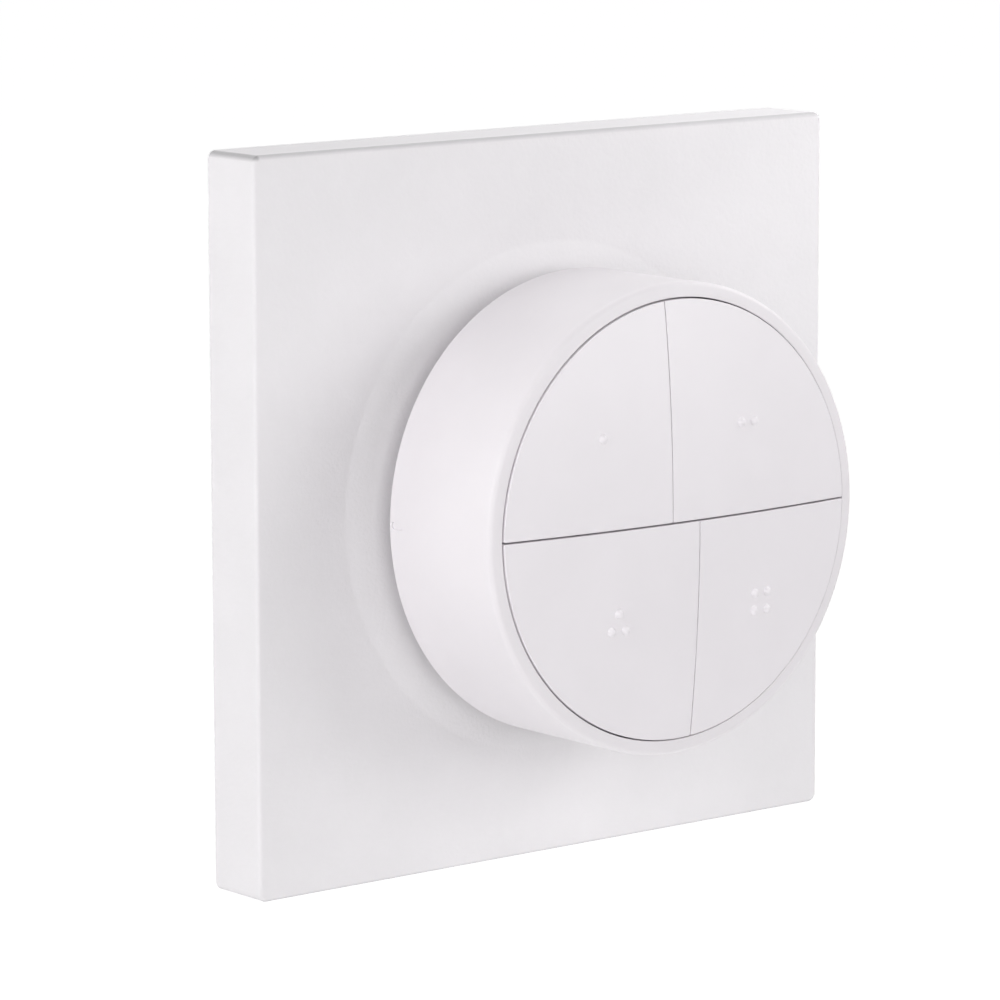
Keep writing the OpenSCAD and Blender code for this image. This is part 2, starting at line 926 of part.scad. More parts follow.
// Places of a button's two guide pins
module at_guides(side) {
    for (place = [[guide_far, guide_near], [guide_near, guide_far]])
        translate([side[0] * place[0], side[1] * place[1], 0])
            children();
}

module button_carrier() {
    opening = switch_w + 2 * seat_clear;
    color("lightgray")
        stand()
            difference() {
                union() {
                    disc(carrier_r, neck_top_d, floor_d);
                    ring(carrier_r - carrier_rim_t, carrier_r, floor_d - embed, carrier_rim_d);
                    for (side = button_sides)
                        at_guides(side)
                            disc(guide_tube_r, floor_d - embed, floor_d + guide_h);
                }
                for (side = button_sides) {
                    at_switch(side)
                        block([opening, opening], neck_top_d - over, floor_d + over);
                    at_guides(side) {
                        disc(guide_hole_r, floor_d, floor_d + guide_h + over);
                        disc(snap_r + run_clear, floor_d, snap_top_d + face_clear);
                        block([2 * guide_tube_r + embed, guide_slit], floor_d, floor_d + guide_h + over);
                    }
                }
                at_bosses()
                    disc(carrier_screw_r + seat_clear, neck_top_d - over, floor_d + over);
            }
}

module carrier_screws() {
    cross = [2.3, 0.4];
    cross_depth = 0.7;
    head_top_d = floor_d + carrier_head_h;
    color("silver")
        stand()
            at_bosses()
                difference() {
                    union() {
                        disc(carrier_screw_r, floor_d - carrier_screw_l, floor_d + embed);
                        disc(carrier_head_r, floor_d, head_top_d);
                    }
                    for (a = [0, 90])
                        rotate([0, 0, a])
                            block(cross, head_top_d - cross_depth, head_top_d + over);
                }
}

module glide_ring() {
    color("ivory")
        stand()
            ring(neck_r + run_clear, thrust_r, glide_d, glide_d + glide_t);
}

module dial_retainer() {
    color("silver")
        stand()
            sector(
                neck_r - groove_depth + bond_line, retainer_r, retainer_d, retainer_top_d, 90, 360 - retainer_split
            );
}

module battery_door() {
    slot_side = slot_l - slot_w;
    color("gainsboro")
        stand()
            difference() {
                union() {
                    disc(door_r, seat_d + door_recess, lip_back_d - face_clear / 2);
                    disc(plug_r, seat_d + door_recess, plug_top_d);
                    ring(door_ring_r, plug_r, plug_top_d - embed, lug_top_d);
                    for (a = lug_angles)
                        sector(door_ring_r + embed, lug_r, plug_top_d, lug_top_d, a, lug_sweep);
                }
                block([slot_side, slot_w], seat_d, seat_d + door_recess + slot_depth);
                for (s = [-1, 1])
                    translate([s * slot_side / 2, 0, 0])
                        disc(slot_w / 2, seat_d, seat_d + door_recess + slot_depth);
            }
}

// Section of the dial: wall, web on the neck and a lip that follows the dome
module dial_section() {
    difference() {
        union() {
            intersection() {
                dome_section(dial_r, dial_d);
                translate([dial_in_r, dial_d])
                    square([dial_wall, dome_r]);
            }
            translate([web_bore_r, web_d])
                square([dial_in_r - web_bore_r + dial_wall / 2, web_t]);
        }
        dome_corner_cut(dial_r, dial_front_r);
        corner_cut([dial_r - dial_back_r, dial_d + dial_back_r], dial_back_r, -90, 0);
    }
}

// Small rounded bar on the dial's side, at nine o'clock
module index_mark() {
    half = (mark_l - mark_w) / 2;
    reach = [dial_r - dial_wall / 2, dial_r + mark_rise];
    translate([0, 0, dial_d + mark_offset + mark_l / 2])
        rotate([0, -90, 0]) {
            for (s = [-1, 1])
                translate([s * half, 0, 0])
                    disc(mark_w / 2, reach[0], reach[1]);
            block([2 * half, mark_w], reach[0], reach[1]);
        }
}

module dial_ring() {
    color("white")
        stand() {
            rotate_extrude()
                dial_section();
            index_mark();
        }
}

module encoder_ring() {
    outer = dial_in_r - bond_line;
    color("black")
        stand()
            ring(outer - encoder_w, outer, encoder_d, encoder_d + encoder_h);
}

// Quarter that a button fills, drawn in from its edges by an inset
module quarter(side, inset) {
    edge = button_gap / 2 + inset;
    reach = 2 * dial_r;
    x0 = gap_x(side) + side[0] * edge;
    y0 = side[1] * edge;
    translate([side[0] > 0 ? x0 : x0 - reach, side[1] > 0 ? y0 : y0 - reach, skirt_d - over])
        cube([reach, reach, reach]);
}

// Domed cap of one button with its skirt, its plunger, two guide pins and its dots
module button(side, count) {
    middle = dot_middle(side);
    color("white")
        stand() {
            difference() {
                intersection() {
                    rotate_extrude()
                        difference() {
                            dome_section(button_r, skirt_d);
                            dome_corner_cut(button_r, rim_r);
                        }
                    quarter(side, 0);
                }
                intersection() {
                    rotate_extrude()
                        dome_section(button_r - skirt_t, skirt_d - over, cap_t);
                    quarter(side, skirt_t);
                }
            }
            at_switch(side)
                disc(plunger_r, stem_top_d, lip_d);
            at_guides(side) {
                disc(guide_r, snap_d, lip_d);
                disc(snap_r, snap_d, snap_top_d);
            }
            for (place = dot_places(count))
                translate([middle[0] + place[0], middle[1] + place[1], dome_depth(norm(middle + place)) - dot_sink])
                    sphere(dot_r, $fn = 32);
        }
}

module button_1() { button(button_sides[0], 1); }
module button_2() { button(button_sides[1], 2); }
module button_3() { button(button_sides[2], 3); }
module button_4() { button(button_sides[3], 4); }

wall_plate();
base_plate();
keeper_segments();
adhesive_pads();
base_housing();
dock_magnets();
coin_cell();
battery_contact_negative();
battery_contact_positive();
circuit_board();
radio_module();
board_chips();
hall_sensors();
tact_switches();
pairing_switch();
button_carrier();
carrier_screws();
glide_ring();
dial_retainer();
battery_door();
dial_ring();
encoder_ring();
button_1();
button_2();
button_3();
button_4();
switch_stem_1();
switch_stem_2();
switch_stem_3();
switch_stem_4();
pairing_button();
pairing_stem();
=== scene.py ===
"""Looks of a wall-mounted smart button: a square plate, a turning dial and four push buttons.

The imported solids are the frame. The pieces that show are modelled again here with soft edges and
moulded finishes, in metres and in the same frame: the wall is the plane Y = 0, the front looks
along -Y and +Z is up. A depth is a distance from the wall, so a point at depth d lies at Y = -d.
"""

import json
import logging
import math
from dataclasses import dataclass, field
from enum import Enum
from typing import Callable, Sequence

import bpy
from mathutils import Matrix, Vector

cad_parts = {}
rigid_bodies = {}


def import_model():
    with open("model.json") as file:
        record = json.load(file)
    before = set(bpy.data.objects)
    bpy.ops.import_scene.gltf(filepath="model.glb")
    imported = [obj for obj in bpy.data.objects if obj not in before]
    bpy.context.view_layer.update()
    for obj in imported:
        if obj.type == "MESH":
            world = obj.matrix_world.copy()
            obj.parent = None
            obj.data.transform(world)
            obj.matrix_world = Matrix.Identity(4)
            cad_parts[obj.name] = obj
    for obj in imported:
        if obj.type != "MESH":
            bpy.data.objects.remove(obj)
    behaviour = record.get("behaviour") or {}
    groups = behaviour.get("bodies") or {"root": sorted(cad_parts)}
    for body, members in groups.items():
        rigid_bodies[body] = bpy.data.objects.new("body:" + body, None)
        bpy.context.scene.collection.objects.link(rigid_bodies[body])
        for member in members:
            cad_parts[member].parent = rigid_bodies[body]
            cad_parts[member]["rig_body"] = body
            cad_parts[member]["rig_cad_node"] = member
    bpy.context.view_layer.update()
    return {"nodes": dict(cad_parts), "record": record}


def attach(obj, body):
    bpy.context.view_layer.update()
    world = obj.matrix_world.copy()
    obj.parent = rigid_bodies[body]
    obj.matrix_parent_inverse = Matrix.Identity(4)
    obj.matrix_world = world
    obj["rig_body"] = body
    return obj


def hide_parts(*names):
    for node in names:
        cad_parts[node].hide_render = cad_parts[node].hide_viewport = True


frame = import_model()
LOG = logging.getLogger("smart_button")
MM = 0.001
TINY = 1e-6
# Least share of an axis in the normal of a face that looks along it
FACING = 0.99
# Turn of a primitive whose axis is to lie along the puck's axis
ALONG_AXIS = (math.pi / 2, 0, 0)
WHITE = (1, 1, 1, 1)

Profile = list[tuple[float, float]]
Test = Callable[[Vector, Vector], bool]


class Pick(Enum):
    """What a selection is made of, with Blender's select mode for it."""

    VERTICES = (True, False, False)
    EDGES = (False, True, False)
    FACES = (False, False, True)


class Carve(Enum):
    """How one solid changes another."""

    ADD = "UNION"
    CUT = "DIFFERENCE"


# Workbench


def rest_hands() -> None:
    """Leaves edit mode and deselects everything."""
    if bpy.context.object is not None and bpy.context.object.mode != "OBJECT":
        bpy.ops.object.mode_set(mode="OBJECT")
    bpy.ops.object.select_all(action="DESELECT")


def take(piece: bpy.types.Object) -> None:
    """Makes one piece the only one in hand."""
    rest_hands()
    piece.select_set(True)
    bpy.context.view_layer.objects.active = piece


def named(name: str) -> bpy.types.Object:
    """Applies the place of the primitive in hand to its mesh and names it.

    Args:
        name: Name of the piece.

    Returns:
        The piece.
    """
    bpy.ops.object.transform_apply(location=True, rotation=True, scale=True)
    piece = bpy.context.object
    piece.name = name
    piece.data.name = name
    return piece


def pick(piece: bpy.types.Object, kind: Pick, test: Test) -> None:
    """Selects part of a piece in edit mode, by place.

    Args:
        piece: The piece.
        kind: What is selected.
        test: Says whether an item is selected, from an edge's two ends or else from the item's
            place and normal.
    """
    take(piece)
    mesh = piece.data
    for items in (mesh.vertices, mesh.edges, mesh.polygons):
        items.foreach_set("select", [False] * len(items))
    if kind is Pick.EDGES:
        ends = [v.co for v in mesh.vertices]
        for edge in mesh.edges:
            edge.select = test(ends[edge.vertices[0]], ends[edge.vertices[1]])
    elif kind is Pick.FACES:
        for face in mesh.polygons:
            face.select = test(face.center, face.normal)
    else:
        for vertex in mesh.vertices:
            vertex.select = test(vertex.co, vertex.normal)
    bpy.context.tool_settings.mesh_select_mode = kind.value
    bpy.ops.object.mode_set(mode="EDIT")


def round_edges(piece: bpy.types.Object, radius: float, segments: int, test: Test) -> None:
    """Bevels the edges of a piece that pass a test.

    Args:
        piece: The piece.
        radius: Radius of the rounding.
        segments: Number of faces across the rounding.
        test: Says whether an edge is rounded, from its two ends.
    """
    pick(piece, Pick.EDGES, test)
    bpy.ops.mesh.bevel(offset=radius, segments=segments, affect="EDGES", clamp_overlap=False)
    rest_hands()


def box(name: str, low: Sequence[float], high: Sequence[float]) -> bpy.types.Object:
    """Adds a block between two corners.

    Args:
        name: Name of the piece.
        low: Lowest corner.
        high: Highest corner.

    Returns:
        The piece.
    """
    rest_hands()
    middle = [(a + b) / 2 for a, b in zip(low, high)]
    size = [b - a for a, b in zip(low, high)]
    bpy.ops.mesh.primitive_cube_add(size=1, location=middle, scale=size)
    return named(name)


def peg(name: str, radius: float, d0: float, d1: float, rounding: float) -> bpy.types.Object:
    """Adds a round peg on the puck's axis, with both ends rounded.

    Args:
        name: Name of the piece.
        radius: Radius of the peg.
        d0: Depth of its back end.
        d1: Depth of its front end.
        rounding: Radius of the rounded ends.

    Returns:
        The piece.
    """
    rest_hands()
    bpy.ops.mesh.primitive_cylinder_add(
        vertices=48,
        radius=radius,
        depth=d1 - d0,
        location=(0, -(d0 + d1) / 2, 0),
        rotation=ALONG_AXIS,
    )
    piece = named(name)
    round_edges(piece, rounding, segments=3, test=lambda a, b: abs(a.y - b.y) < TINY)
    soften(piece)
    return piece


def twin(
    piece: bpy.types.Object, move: Sequence[float] = (0, 0, 0), half_turn: bool = False
) -> bpy.types.Object:
    """Copies a piece, with a mesh of its own.

    Args:
        piece: The piece.
        move: How far the copy moves.
        half_turn: Whether the copy is first turned half round the puck's axis.

    Returns:
        The copy.
    """
    take(piece)
    bpy.ops.object.duplicate()
    if half_turn:
        bpy.ops.transform.rotate(value=math.pi, orient_axis="Y", center_override=(0, 0, 0))
    bpy.ops.transform.translate(value=move)
    return named(f"{piece.name}_twin")


def rounded(corners: Sequence[tuple[float, float, float]], segments: int) -> Profile:
    """Rounds the corners of a closed profile.

    Args:
        corners: Radius from the axis, depth and rounding of each corner.
        segments: Number of lines in each rounding.

    Returns:
        The points of the profile.
    """
    points: Profile = []
    for i, (x, d, rounding) in enumerate(corners):
        here = Vector((x, d))
        if rounding <= 0:
            points.append((x, d))
            continue
        back = (Vector(corners[i - 1][:2]) - here).normalized()
        ahead = (Vector(corners[(i + 1) % len(corners)][:2]) - here).normalized()
        half = back.angle(ahead) / 2
        middle = here + (back + ahead).normalized() * (rounding / math.sin(half))
        start = here + back * (rounding / math.tan(half)) - middle
        end = here + ahead * (rounding / math.tan(half)) - middle
        sweep = start.angle_signed(end)
        for k in range(segments + 1):
            spoke = Matrix.Rotation(-sweep * k / segments, 2) @ start
            points.append(tuple(middle + spoke))
    return points


def lathe(name: str, profile: Profile, steps: int) -> bpy.types.Object:
    """Draws a closed profile point by point and spins it round the puck's axis.

    Args:
        name: Name of the piece.
        profile: Radius from the axis and depth of each point.
        steps: Number of faces round the axis.

    Returns:
        The piece, closed and with its faces outwards.
    """
    rest_hands()
    bpy.ops.mesh.primitive_plane_add(size=MM)
    piece = named(name)
    bpy.context.tool_settings.mesh_select_mode = Pick.VERTICES.value
    bpy.ops.object.mode_set(mode="EDIT")
    bpy.ops.mesh.select_all(action="SELECT")
    bpy.ops.mesh.merge(type="CENTER")
    bpy.ops.transform.translate(value=(profile[0][0], -profile[0][1], 0))
    for (r0, d0), (r1, d1) in zip(profile, [*profile[1:], profile[0]]):
        bpy.ops.mesh.extrude_vertices_move(TRANSFORM_OT_translate={"value": (r1 - r0, d0 - d1, 0)})
    bpy.ops.mesh.select_all(action="SELECT")
    bpy.ops.mesh.remove_doubles(threshold=TINY)
    bpy.ops.mesh.spin(steps=steps, angle=2 * math.pi, center=(0, 0, 0), axis=(0, 1, 0))
    bpy.ops.mesh.select_all(action="SELECT")
    bpy.ops.mesh.remove_doubles(threshold=TINY)
    bpy.ops.mesh.dissolve_degenerate(threshold=TINY)
    bpy.ops.mesh.select_all(action="SELECT")
    bpy.ops.mesh.normals_make_consistent(inside=False)
    rest_hands()
    return piece


def push(distance: float) -> None:
    """Extrudes the faces in hand along the puck's axis, towards the wall."""
    bpy.ops.mesh.extrude_region_move(TRANSFORM_OT_translate={"value": (0, distance, 0)})


def carve(piece: bpy.types.Object, tool: bpy.types.Object, how: Carve) -> None:
    """Adds a solid to a piece or cuts it out, and puts the solid away.

    Args:
        piece: The piece that changes.
        tool: The solid that is added or cut out.
        how: Which of the two.
    """
    take(piece)
    modifier = piece.modifiers.new("carve", "BOOLEAN")
    modifier.operation = how.value
    modifier.solver = "EXACT"
    modifier.object = tool
    bpy.ops.object.modifier_apply(modifier=modifier.name)
    bpy.data.objects.remove(tool)


def join(piece: bpy.types.Object, others: Sequence[bpy.types.Object]) -> None:
    """Joins other pieces into one piece."""
    take(piece)
    for other in others:
        other.select_set(True)
    bpy.ops.object.join()
    rest_hands()


def soften(piece: bpy.types.Object, angle: float = 40.0) -> None:
    """Shades a piece smooth across shallow edges and keeps its flat faces flat.

    Args:
        piece: The piece.
        angle: Edges sharper than this many degrees stay sharp.
    """
    take(piece)
    bpy.ops.object.shade_smooth_by_angle(angle=math.radians(angle))
    modifier = piece.modifiers.new("flat_faces", "WEIGHTED_NORMAL")
    modifier.keep_sharp = True
    bpy.ops.object.modifier_apply(modifier=modifier.name)
    rest_hands()


def polar(place: Vector) -> float:
    """Gives the distance of a place from the puck's axis."""
    return math.hypot(place.x, place.z)


# Finishes


@dataclass(frozen=True)
class PaintedEdgeShade:
    """A dark band of painted shade along an edge of a piece, where two axes are both near their
    ends; it stands in for the shade that falls on the edge's rounding.
    """

    axes: tuple[str, str]
    start: tuple[float, float]
    full: tuple[float, float]
    shade: float


class Sheet:
    """A material's node tree, built up node by node."""

    # Span of a pattern's values that is put to use
    LOW, HIGH = 0.3, 0.7

    def __init__(self, name: str) -> None:
        """Starts a material with a shader and its output.

        Args:
            name: Name of the material.
        """
        self.material = bpy.data.materials.new(name)
        self.material.use_nodes = True
        self.tree = self.material.node_tree
        self.tree.nodes.clear()
        self.output = self.add("ShaderNodeOutputMaterial")
        self.shader = self.add("ShaderNodeBsdfPrincipled")
        self.link(self.shader, "BSDF", self.output, "Surface")
        self.place = self.add("ShaderNodeTexCoord")

    def add(self, kind: str, **sockets: object) -> bpy.types.Node:
        """Adds a node and sets its inputs.

        Args:
            kind: Blender's name for the node.
            **sockets: Value of each input, by its name with _ for a space.

        Returns:
            The node.
        """
        node = self.tree.nodes.new(kind)
        for key, value in sockets.items():
            node.inputs[key.replace("_", " ")].default_value = value
        return node

    def link(
        self, source: bpy.types.Node, out: str | int, target: bpy.types.Node, into: str | int
    ) -> None:
        """Joins one node's output to another's input."""
        self.tree.links.new(source.outputs[out], target.inputs[into])

    def noise(
        self, size: float, detail: float, stretch: Sequence[float] = (1, 1, 1)
    ) -> bpy.types.Node:
        """Adds noise on the piece's own coordinates.

        Args:
            size: Size of the noise's spots.
            detail: Number of finer layers.
            stretch: Share of the full frequency along each axis.

        Returns:
            The noise node.
        """
        turned = self.add("ShaderNodeMapping")
        turned.inputs["Scale"].default_value = stretch
        node = self.add("ShaderNodeTexNoise", Scale=1 / size, Detail=detail)
        self.link(self.place, "Object", turned, "Vector")
        self.link(turned, "Vector", node, "Vector")
        return node

    def polish(self, source: bpy.types.Node, out: str, low: float, high: float) -> None:
        """Varies the surface's roughness with a pattern.

        Args:
            source: Node that makes the pattern.
            out: Its output.
            low: Roughness where the pattern is low.
            high: Roughness where the pattern is high.
        """
        node = self.add(
            "ShaderNodeMapRange", From_Min=self.LOW, From_Max=self.HIGH, To_Min=low, To_Max=high
        )
        self.link(source, out, node, "Value")
        self.link(node, "Result", self.shader, "Roughness")

    def tint(
        self,
        source: bpy.types.Node,
        out: str,
        low: Sequence[float],
        high: Sequence[float],
        lines: Sequence[PaintedEdgeShade] = (),
    ) -> None:
        """Colours the surface with a pattern of two shades.

        Args:
            source: Node that makes the pattern.
            out: Its output.
            low: Colour where the pattern is low.
            high: Colour where the pattern is high.
            lines: Edges along which painted shade darkens the colour.
        """
        node = self.add("ShaderNodeValToRGB")
        ends = node.color_ramp.elements
        ends[0].position, ends[1].position = self.LOW, self.HIGH
        ends[0].color, ends[1].color = (*low, 1), (*high, 1)
        self.link(source, out, node, "Fac")
        colour = node.outputs["Color"]
        # Painted shade: each line darkens the base colour along a rounded edge
        for line in lines:
            colour = self.darken(colour, line)
        self.tree.links.new(colour, self.shader.inputs["Base Color"])

    def darken(self, colour: bpy.types.NodeSocket, line: PaintedEdgeShade) -> bpy.types.NodeSocket:
        """Paints shade into a colour along an edge of the piece, darkening it where shade falls on
        the edge's rounding.

        Args:
            colour: Output that gives the colour.
            line: Where the painted edge shade lies and how dark it gets.

        Returns:
            The output that gives the darkened colour.
        """
        split = self.add("ShaderNodeSeparateXYZ")
        self.link(self.place, "Object", split, "Vector")
        both = self.add("ShaderNodeMath")
        both.operation = "MULTIPLY"
        for k, axis in enumerate(line.axes):
            near = self.add("ShaderNodeMapRange", From_Min=line.start[k], From_Max=line.full[k])
            self.link(split, axis, near, "Value")
            self.link(near, "Result", both, k)
        # Painted shade: the colour is multiplied by the line's shade inside the edge mask
        mix = self.add("ShaderNodeMix")
        mix.data_type, mix.blend_type = "RGBA", "MULTIPLY"
        amount, _, _, _, _, _, first, second, *_ = mix.inputs
        second.default_value = (line.shade, line.shade, line.shade, 1)
        self.tree.links.new(both.outputs[0], amount)
        self.tree.links.new(colour, first)
        return mix.outputs[2]

    def dent(self, source: bpy.types.Node, out: str, depth: float) -> None:
        """Raises the surface with a pattern.

        Args:
            source: Node that makes the pattern.
            out: Its output.
            depth: Height of the relief.
        """
        node = self.add("ShaderNodeBump", Strength=1.0, Distance=depth)
        self.link(source, out, node, "Height")
        self.link(node, "Normal", self.shader, "Normal")


@dataclass(frozen=True)
class MouldedPlastic:
    """Moulded plastic: faint clouds in its colour, the tool's grain and painted shade darkening
    some edges.
    """

    colour: tuple[float, float, float]
    roughness: float = 0.5
    roughness_span: float = 0.06
    grain: float = 0.18 * MM
    grain_depth: float = 0.004 * MM
    cloud: float = 9 * MM
    contrast: float = 0.012
    # Painted shade: dark bands along rounded edges, standing in for the shade that falls on them
    edges: tuple[PaintedEdgeShade, ...] = ()

    def material(self, name: str) -> bpy.types.Material:
        """Makes the material.

        Args:
            name: Name of the material.

        Returns:
            The material.
        """
        sheet = Sheet(name)
        low = [c * (1 - self.contrast) for c in self.colour]
        high = [min(1, c * (1 + self.contrast)) for c in self.colour]
        sheet.tint(sheet.noise(self.cloud, detail=3), "Fac", low, high, self.edges)
        grain, span = sheet.noise(self.grain, detail=2), self.roughness_span
        sheet.polish(grain, "Fac", self.roughness - span, self.roughness + span)
        sheet.dent(grain, "Fac", self.grain_depth)
        return sheet.material


@dataclass(frozen=True)
class RolledMetal:
    """Rolled or plated sheet metal: fine streaks along one axis and a cloudy tarnish."""

    colour: tuple[float, float, float]
    roughness: float = 0.32
    smoother: float = 0.08
    rougher: float = 0.1
    streak: tuple[float, float, float] = (0.05, 1, 1)
    streak_width: float = 0.12 * MM
    streak_depth: float = 0.002 * MM
    tarnish: float = 3 * MM
    dulling: float = 0.88

    def material(self, name: str) -> bpy.types.Material:
        """Makes the material.

        Args:
            name: Name of the material.

        Returns:
            The material.
        """
        sheet = Sheet(name)
        sheet.shader.inputs["Metallic"].default_value = 1.0
        dull = [c * self.dulling for c in self.colour]
        sheet.tint(sheet.noise(self.tarnish, detail=4), "Fac", dull, self.colour)
        streaks = sheet.noise(self.streak_width, detail=2, stretch=self.streak)
        sheet.polish(streaks, "Fac", self.roughness - self.smoother, self.roughness + self.rougher)
        sheet.dent(streaks, "Fac", self.streak_depth)
        return sheet.material


@dataclass(frozen=True)
class CellFoam:
    """Closed-cell foam tape: small round cells in a dark, dull sheet."""

    colour: tuple[float, float, float]
    cell: float = 0.35 * MM
    depth: float = 0.08 * MM
    paler: float = 1.5
    roughness: tuple[float, float] = (0.75, 0.95)

    def material(self, name: str) -> bpy.types.Material:
        """Makes the material.

        Args:
            name: Name of the material.

        Returns:
            The material.
        """
        sheet = Sheet(name)
        cells = sheet.add("ShaderNodeTexVoronoi", Scale=1 / self.cell)
        sheet.link(sheet.place, "Object", cells, "Vector")
        pale = [min(1, c * self.paler) for c in self.colour]
        sheet.tint(cells, "Distance", self.colour, pale)
        sheet.polish(cells, "Distance", *self.roughness)
        sheet.dent(cells, "Distance", self.depth)
        return sheet.material


@dataclass(frozen=True)
class SolderMask:
    """Circuit board: glossy mask, paler where the copper under it runs."""

    colour: tuple[float, float, float]
    coat: float = 0.4
    trace: float = 2.2 * MM
    depth: float = 0.01 * MM
    paler: float = 1.6
    lift: float = 0.02
    haze: float = 0.4 * MM
    roughness: tuple[float, float] = (0.22, 0.36)

    def material(self, name: str) -> bpy.types.Material:
        """Makes the material.

        Args:
            name: Name of the material.

        Returns:
            The material.
        """
        sheet = Sheet(name)
        sheet.shader.inputs["Coat Weight"].default_value = self.coat
        copper = sheet.add("ShaderNodeTexVoronoi", Scale=1 / self.trace)
        copper.distance = "CHEBYCHEV"
        copper.feature = "DISTANCE_TO_EDGE"
        sheet.link(sheet.place, "Object", copper, "Vector")
        pale = [min(1, c * self.paler + self.lift) for c in self.colour]
        sheet.tint(copper, "Distance", pale, self.colour)
        sheet.polish(sheet.noise(self.haze, detail=2), "Fac", *self.roughness)
        sheet.dent(copper, "Distance", self.depth)
        return sheet.material


class Palette(Enum):
    """The finish of each material slot in the record."""

    plate_white = MouldedPlastic(
        (0.827, 0.807, 0.827),
        roughness=0.58,
        grain=0.42 * MM,
        grain_depth=0.045 * MM,
        # Painted shade: the top-front, left-top and bottom-front roundings of the cover are painted
        # darker, standing in for the shade on them
        edges=(
            PaintedEdgeShade(("Z", "Y"), (39.45 * MM, -7.75 * MM), (39.85 * MM, -7.85 * MM), 0.72),
            PaintedEdgeShade(("Z", "X"), (39.3 * MM, -39.1 * MM), (39.75 * MM, -39.4 * MM), 0.58),
            PaintedEdgeShade(("Z", "Y"), (-39.6 * MM, -7.75 * MM), (-39.85 * MM, -7.85 * MM), 0.86),
        ),
    )
    dial_white = MouldedPlastic(
        (0.832, 0.8, 0.828), roughness=0.46, grain=0.09 * MM, grain_depth=0.001 * MM
    )
    button_white = MouldedPlastic((0.855, 0.822, 0.853), roughness=0.36, grain=0.16 * MM)
    housing_white = MouldedPlastic((0.76, 0.75, 0.76), roughness=0.5)
    base_grey = MouldedPlastic((0.55, 0.55, 0.56), roughness=0.55)
    foam_grey = CellFoam((0.10, 0.10, 0.105))
    keeper_steel = RolledMetal((0.56, 0.56, 0.57))
    magnet_nickel = RolledMetal((0.66, 0.64, 0.60), roughness=0.22)
    cell_steel = RolledMetal((0.64, 0.64, 0.64), roughness=0.28)
    contact_spring = RolledMetal((0.70, 0.60, 0.40), roughness=0.28)
    board_green = SolderMask((0.02, 0.12, 0.05))
    shield_tin = RolledMetal((0.66, 0.67, 0.68), roughness=0.35)
    chip_black = MouldedPlastic((0.018, 0.018, 0.018), roughness=0.5, contrast=0.1)
    switch_black = MouldedPlastic((0.03, 0.03, 0.03), roughness=0.45, contrast=0.1)
    stem_white = MouldedPlastic((0.74, 0.74, 0.72), roughness=0.45)
    screw_steel = RolledMetal((0.50, 0.50, 0.51))
    glide_ivory = MouldedPlastic((0.76, 0.73, 0.66), roughness=0.35)
    encoder_black = MouldedPlastic((0.035, 0.035, 0.035), roughness=0.6, contrast=0.15)


class PaintShop:
    """Makes each finish once and puts it on pieces."""

    def __init__(self, record: dict) -> None:
        """Reads which slot each node has.

        Args:
            record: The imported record.
        """
        self.slots: dict[str, str] = {s["node"]: s["material_slot"] for s in record["subparts"]}
        self.made: dict[str, bpy.types.Material] = {}

    def coat(self, piece: bpy.types.Object, slot: str) -> None:
        """Gives a piece the finish of a slot.

        Args:
            piece: The piece.
            slot: Name of the slot.
        """
        if slot not in self.made:
            self.made[slot] = Palette[slot].value.material(slot)
        piece.data.materials.clear()
        piece.data.materials.append(self.made[slot])

    def stand_in(self, piece: bpy.types.Object, node: str, body: str) -> None:
        """Puts a piece in a node's place, with that node's finish, on a body.

        Args:
            piece: The piece.
            node: Node that it stands for.
            body: Body that it rides on.
        """
        self.coat(piece, self.slots[node])
        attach(piece, body)
        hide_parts(node)
        LOG.info("%s stands for %s on %s", piece.name, node, body)


# Sub-assemblies


